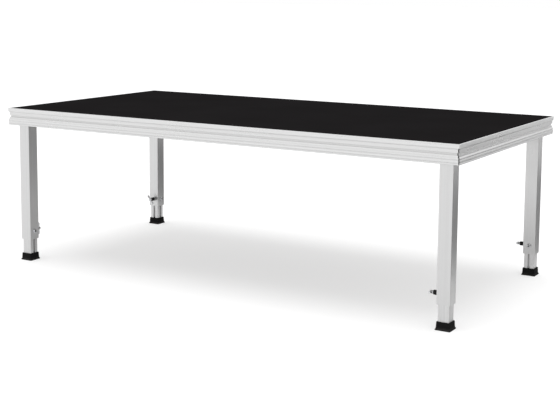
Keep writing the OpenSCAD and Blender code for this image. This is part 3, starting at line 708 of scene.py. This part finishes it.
def islands(node):
    """The groups of joined points of a node, as lists of places."""
    mesh = bmesh.new()
    mesh.from_mesh(node.data)
    bmesh.ops.remove_doubles(mesh, verts=mesh.verts, dist=SEAM)
    left, groups = set(mesh.verts), []
    while left:
        group, edge = [], [left.pop()]
        while edge:
            point = edge.pop()
            group.append(point.co.copy())
            near = {line.other_vert(point) for line in point.link_edges} & left
            left -= near
            edge += near
        groups.append(group)
    mesh.free()
    return groups


def screw_place(points):
    """Where a screw's shank starts, which way its head points, and how long the screw is."""
    low, high = (Vector([pick(point[i] for point in points) for i in range(3)]) for pick in (min, max))
    centre, size = (low + high) / 2, high - low
    along = max(range(3), key=lambda i: size[i])
    axis = Vector([float(i == along) for i in range(3)])

    def width(side):
        ends = [p - centre for p in points if (p - centre).dot(axis) * side > size[along] * END_SHARE]
        return max((p - axis * p.dot(axis)).length for p in ends)

    towards_head = axis if width(1.0) > width(-1.0) else -axis
    return centre - towards_head * size[along] / 2, towards_head, size[along]


screw_nodes = ("bracket_screws", "board_screws")
screw_places = {name: [screw_place(points) for points in islands(nodes[name])] for name in screw_nodes}
print("screws found:", {name: len(places) for name, places in screw_places.items()})

# %% [markdown]
# ## Heads with a hexagon
# A screw is turned like a vase: shank, underside, rounded head. In the middle of the head the rings change from
# circles to hexagons of the same number of points, and go down into the metal to make the hole for the key.

# %% Screws in place of the plain ones
SHANK, HEAD, HEAD_HEIGHT = 2.5, 5.0, 3.5
KEY, KEY_DEPTH, SCREW_POINTS = 1.5, 2.2, 24


def hexagon(flat, height):
    """A ring in millimetres with six flat sides, each flat millimetres from the middle."""
    ring = []
    for point in circle(1.0, height, SCREW_POINTS):
        turn = math.atan2(point.y, point.x) % (math.pi / 3) - math.pi / 6
        ring.append(Vector((point.x * flat / math.cos(turn), point.y * flat / math.cos(turn), height)))
    return ring


def screw_rings(length):
    seat = length - HEAD_HEIGHT
    shank = [(SHANK - 0.5, 0), (SHANK, 0.5), (SHANK, seat)]
    head = [(HEAD - 0.2, seat), (HEAD, seat + 0.2), (HEAD, seat + 0.9), (HEAD - 0.3, seat + 1.8),
            (HEAD - 1.0, seat + 2.7), (HEAD - 1.9, length - 0.2), (HEAD - 2.6, length)]
    key_hole = [(KEY + 0.25, length), (KEY, length - 0.3), (KEY, length - KEY_DEPTH)]
    return [circle(r, z, SCREW_POINTS) for r, z in shank + head] + [hexagon(f, z) for f, z in key_hole]


for name, places in screw_places.items():
    mesh = bmesh.new()
    for start, direction, length in places:
        turn = Vector((0, 0, 1)).rotation_difference(direction).to_matrix()
        skin(mesh, [[start + turn @ point * MM for point in ring] for ring in screw_rings(length / MM)])
    screws = add_piece(f"hexagon_{name}", mesh, zinc_finish, "deck")
    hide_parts(name)
print("screws:", {name: round(places[0][2] / MM, 1) for name, places in screw_places.items()}, "mm long")

# %% [markdown]
# ## Welds at the sockets
# The corner sockets are welded to the rails. A weld is laid as a row of small overlapping puddles, so its bead swells
# and shrinks in a regular rhythm. Two upright beads hold each socket, in the corners between its rounded edges and
# the two rails.

# %% Weld beads
BEAD, SWELL, PUDDLE, BEAD_STEP, BEAD_POINTS = 2.1, 0.35, 2.6, 0.5, 12
CLEAR_BELOW, CLEAR_ABOVE, INSET, TAPER = 2, 4, 1.2, 2
socket_low, socket_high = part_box("corner_socket_front_left")
socket_half = (socket_high - socket_low).y / 2 / MM
bead_low, bead_high = socket_low.z / MM + CLEAR_BELOW, socket_high.z / MM - CLEAR_ABOVE
mesh = bmesh.new()
for axis in leg_axis.values():
    sx, sy = math.copysign(1, axis.x), math.copysign(1, axis.y)
    for x, y in ((-sx * socket_half, sy * (socket_half - INSET)), (sx * (socket_half - INSET), -sy * socket_half)):
        place = Vector((axis.x, axis.y, 0)) + Vector((x, y, 0)) * MM
        rings, height = [], bead_low
        while height < bead_high:
            end = min(1.0, (height - bead_low + 0.6) / TAPER, (bead_high - height + 0.1) / TAPER)
            reach = (BEAD + SWELL * abs(math.sin(math.pi * height / PUDDLE))) * math.sqrt(end)
            rings.append([place + point * MM for point in circle(reach, height, BEAD_POINTS)])
            height += BEAD_STEP
        skin(mesh, rings)
add_piece("socket_welds", mesh, socket_finish, "deck", crease=70)
print("weld beads:", 2 * len(leg_axis), "from", round(bead_low, 1), "to", round(bead_high, 1), "mm")

# %% [markdown]
# ## The studio floor
# The photograph was taken in a white room: the floor fades to white, and only the space under the deck is a soft
# grey. A real floor bright enough to burn out to white would also flood the metal with light from below. So the
# floor is a plain pale grey for everything that it lights. A glow that only the camera sees lifts it to white, and a
# smaller one shows in the metal that mirrors it.

# %% Floor
FLOOR_HALF = 60.0
FLOOR_TONE, FLOOR_GLOW, FLOOR_SHEEN = 0.38, 0.55, 0.22
floor_mesh = bpy.data.meshes.new("studio_floor")
floor_mesh.from_pydata([(-FLOOR_HALF, -FLOOR_HALF, 0), (FLOOR_HALF, -FLOOR_HALF, 0), (FLOOR_HALF, FLOOR_HALF, 0),
                        (-FLOOR_HALF, FLOOR_HALF, 0)], [], [(0, 1, 2, 3)])
floor = bpy.data.objects.new("studio_floor", floor_mesh)
bpy.context.scene.collection.objects.link(floor)

floor_material, tree = empty_material("pale_floor")
paper = noise(tree, put(tree, "TexCoord").outputs["Object"], 2.0)
tone = remap(tree, paper, 0.0, 1.0, FLOOR_TONE * 0.99, FLOOR_TONE * 1.01)
paint = put(tree, "BsdfDiffuse", {"Color": put(tree, "CombineColor", {0: tone, 1: tone, 2: tone}).outputs[0]})
ray = put(tree, "LightPath").outputs
seen = maths(tree, "MULTIPLY", ray["Is Camera Ray"], FLOOR_GLOW)
mirrored = maths(tree, "MULTIPLY", ray["Is Glossy Ray"], FLOOR_SHEEN)
glow = put(tree, "Emission", {"Strength": maths(tree, "ADD", seen, mirrored)})
both = put(tree, "AddShader", {0: paint.outputs[0], 1: glow.outputs[0]})
put(tree, "OutputMaterial", {"Surface": both.outputs[0]})
floor.data.materials.append(floor_material)
print("floor:", 2 * FLOOR_HALF, "m square")

# %% [markdown]
# ## The overhead lamp
# Two lights do the work. The first is a very wide lamp overhead, which draws the soft grey shadow under the deck. The
# wider the lamp, the softer the shadow's edge. Metal doesn't mirror this lamp, because it would burn a white line into
# every ledge.

# %% Overhead lamp
LAMP_STRENGTH, LAMP_WIDTH, LAMP_LEAN = 2.4, math.radians(46), (math.radians(5), math.radians(-2), 0)
lamp_data = bpy.data.lights.new("overhead_lamp", "SUN")
lamp_data.energy, lamp_data.angle = LAMP_STRENGTH, LAMP_WIDTH
lamp = bpy.data.objects.new("overhead_lamp", lamp_data)
lamp.rotation_euler = LAMP_LEAN
lamp.visible_glossy = False
bpy.context.scene.collection.objects.link(lamp)
print("lamp:", round(math.degrees(LAMP_WIDTH)), "degrees wide")

# %% [markdown]
# ## The dome
# A dome of light fills the rest. Round the horizon it is brightest in front and to the left, so that the faces of the
# frame that look to the right come out darker, and its corners can be read. Higher up it is the other way round: the
# sky is brighter at the back right, so that the ledges of the darker rail get a line of light and those of the bright
# rail don't. The camera itself sees plain white, so that no edge of the dome shows.

# %% Dome
KEY_SIDE = Vector((-0.65, -0.76, 0.0)).normalized()
DOME_DARK, DOME_BRIGHT, HORIZON_TURN = 0.50, 1.27, (-0.75, 0.65)
TOP_BACK, TOP_FRONT, TOP_TURN = 1.10, 0.88, (-0.4, 0.4)
RISE = (0.06, 0.45)
world = bpy.data.worlds.new("soft_dome")
bpy.context.scene.world = world
world.use_nodes = True
tree = world.node_tree
tree.nodes.clear()
direction = put(tree, "TexCoord").outputs["Generated"]
towards_key = vector_maths(tree, "DOT_PRODUCT", direction, tuple(KEY_SIDE), out="Value")
horizon = remap(tree, towards_key, *HORIZON_TURN, DOME_DARK, DOME_BRIGHT, shape="SMOOTHSTEP")
upwards = remap(tree, one_axis(tree, direction, "Z"), *RISE, shape="SMOOTHSTEP")
top_light = remap(tree, towards_key, *TOP_TURN, TOP_BACK, TOP_FRONT, shape="SMOOTHSTEP")
strength = put(tree, "Mix", {0: upwards, 2: horizon, 3: top_light}, data_type="FLOAT").outputs[0]
dome = put(tree, "Background", {"Color": (1, 1, 1, 1), "Strength": strength}).outputs[0]
white = put(tree, "Background", {"Color": (1, 1, 1, 1), "Strength": 1.0}).outputs[0]
shown = put(tree, "MixShader", {0: put(tree, "LightPath").outputs["Is Camera Ray"], 1: dome, 2: white}).outputs[0]
put(tree, "OutputWorld", {"Surface": shown})
bpy.context.scene.view_settings.view_transform = "Standard"
print("dome:", DOME_DARK, "to", DOME_BRIGHT, "round the horizon,", TOP_FRONT, "to", TOP_BACK, "above")

# %% [markdown]
# ## Dark cards
# Bright metal shows whatever stands beside it. In a white room the sides of a tube turn as white as the room and
# its shape is lost, so photographers stand black card just outside the picture, and the metal picks up a dark side.
# The cards here are dark grey below, where the legs mirror them, and paler towards the top, for the rails. Only
# reflections see them: they cast no shadow, and they are hidden from the camera.

# %% Cards to the right and behind
CARD_HEIGHT, CARD_GAP, CARD_FRONT, CARD_BEYOND = 0.60, 0.28, -0.9, 1.2
CARD_DARK, CARD_LIGHT, CARD_FADE = 0.34, 0.72, (0.28, 0.48)
card_material, tree = empty_material("black_card")
card_height = one_axis(tree, put(tree, "NewGeometry").outputs["Position"], "Z")
shade = remap(tree, card_height, *CARD_FADE, CARD_DARK, CARD_LIGHT, shape="SMOOTHSTEP")
put(tree, "OutputMaterial", {"Surface": put(tree, "BsdfDiffuse", {"Color": shade}).outputs[0]})


def stand_card(name, start, end):
    mesh = bpy.data.meshes.new(name)
    mesh.from_pydata([(*start, 0), (*end, 0), (*end, CARD_HEIGHT), (*start, CARD_HEIGHT)], [], [(0, 1, 2, 3)])
    card = bpy.data.objects.new(name, mesh)
    bpy.context.scene.collection.objects.link(card)
    card.visible_camera = card.visible_diffuse = card.visible_shadow = card.visible_transmission = False
    card.data.materials.append(card_material)


card_x, card_y = cad_box[1].x + CARD_GAP, cad_box[1].y + CARD_GAP
stand_card("card_right", (card_x, CARD_FRONT), (card_x, card_y + CARD_BEYOND))
stand_card("card_rear", (card_x, card_y), (cad_box[0].x, card_y))
print("cards at x", round(card_x, 2), "and y", round(card_y, 2))

# %% [markdown]
# ## The camera
# Its place was worked out from the photograph: the deck's corners and the edges of rails and legs fix where a camera
# has to stand for a deck of 2 by 1 m to look as it does. The picture was cropped below the middle of the lens's view,
# which Blender calls shift.

# %% Camera
LENS_PIXELS, PICTURE_WIDTH, SENSOR = 1140.43, 560, 36.0
TURN, TILT, ROLL = (math.radians(a) for a in (30.771, 6.940, 0.410))
CAMERA_PLACE, CROP_SHIFT, FARTHEST = (2.3835, -3.9710, 1.1510), -0.15, 500.0
camera_data = bpy.data.cameras.new("photo_camera")
camera_data.sensor_width = SENSOR
camera_data.lens = LENS_PIXELS / PICTURE_WIDTH * SENSOR
camera_data.shift_y = CROP_SHIFT
camera_data.clip_end = FARTHEST
camera = bpy.data.objects.new("photo_camera", camera_data)
bpy.context.scene.collection.objects.link(camera)
camera.matrix_world = (Matrix.Translation(CAMERA_PLACE) @ Matrix.Rotation(TURN, 4, "Z")
                       @ Matrix.Rotation(math.radians(90) - TILT, 4, "X") @ Matrix.Rotation(ROLL, 4, "Z"))
bpy.context.scene.camera = camera
print("camera:", round(camera_data.lens, 1), "mm lens")
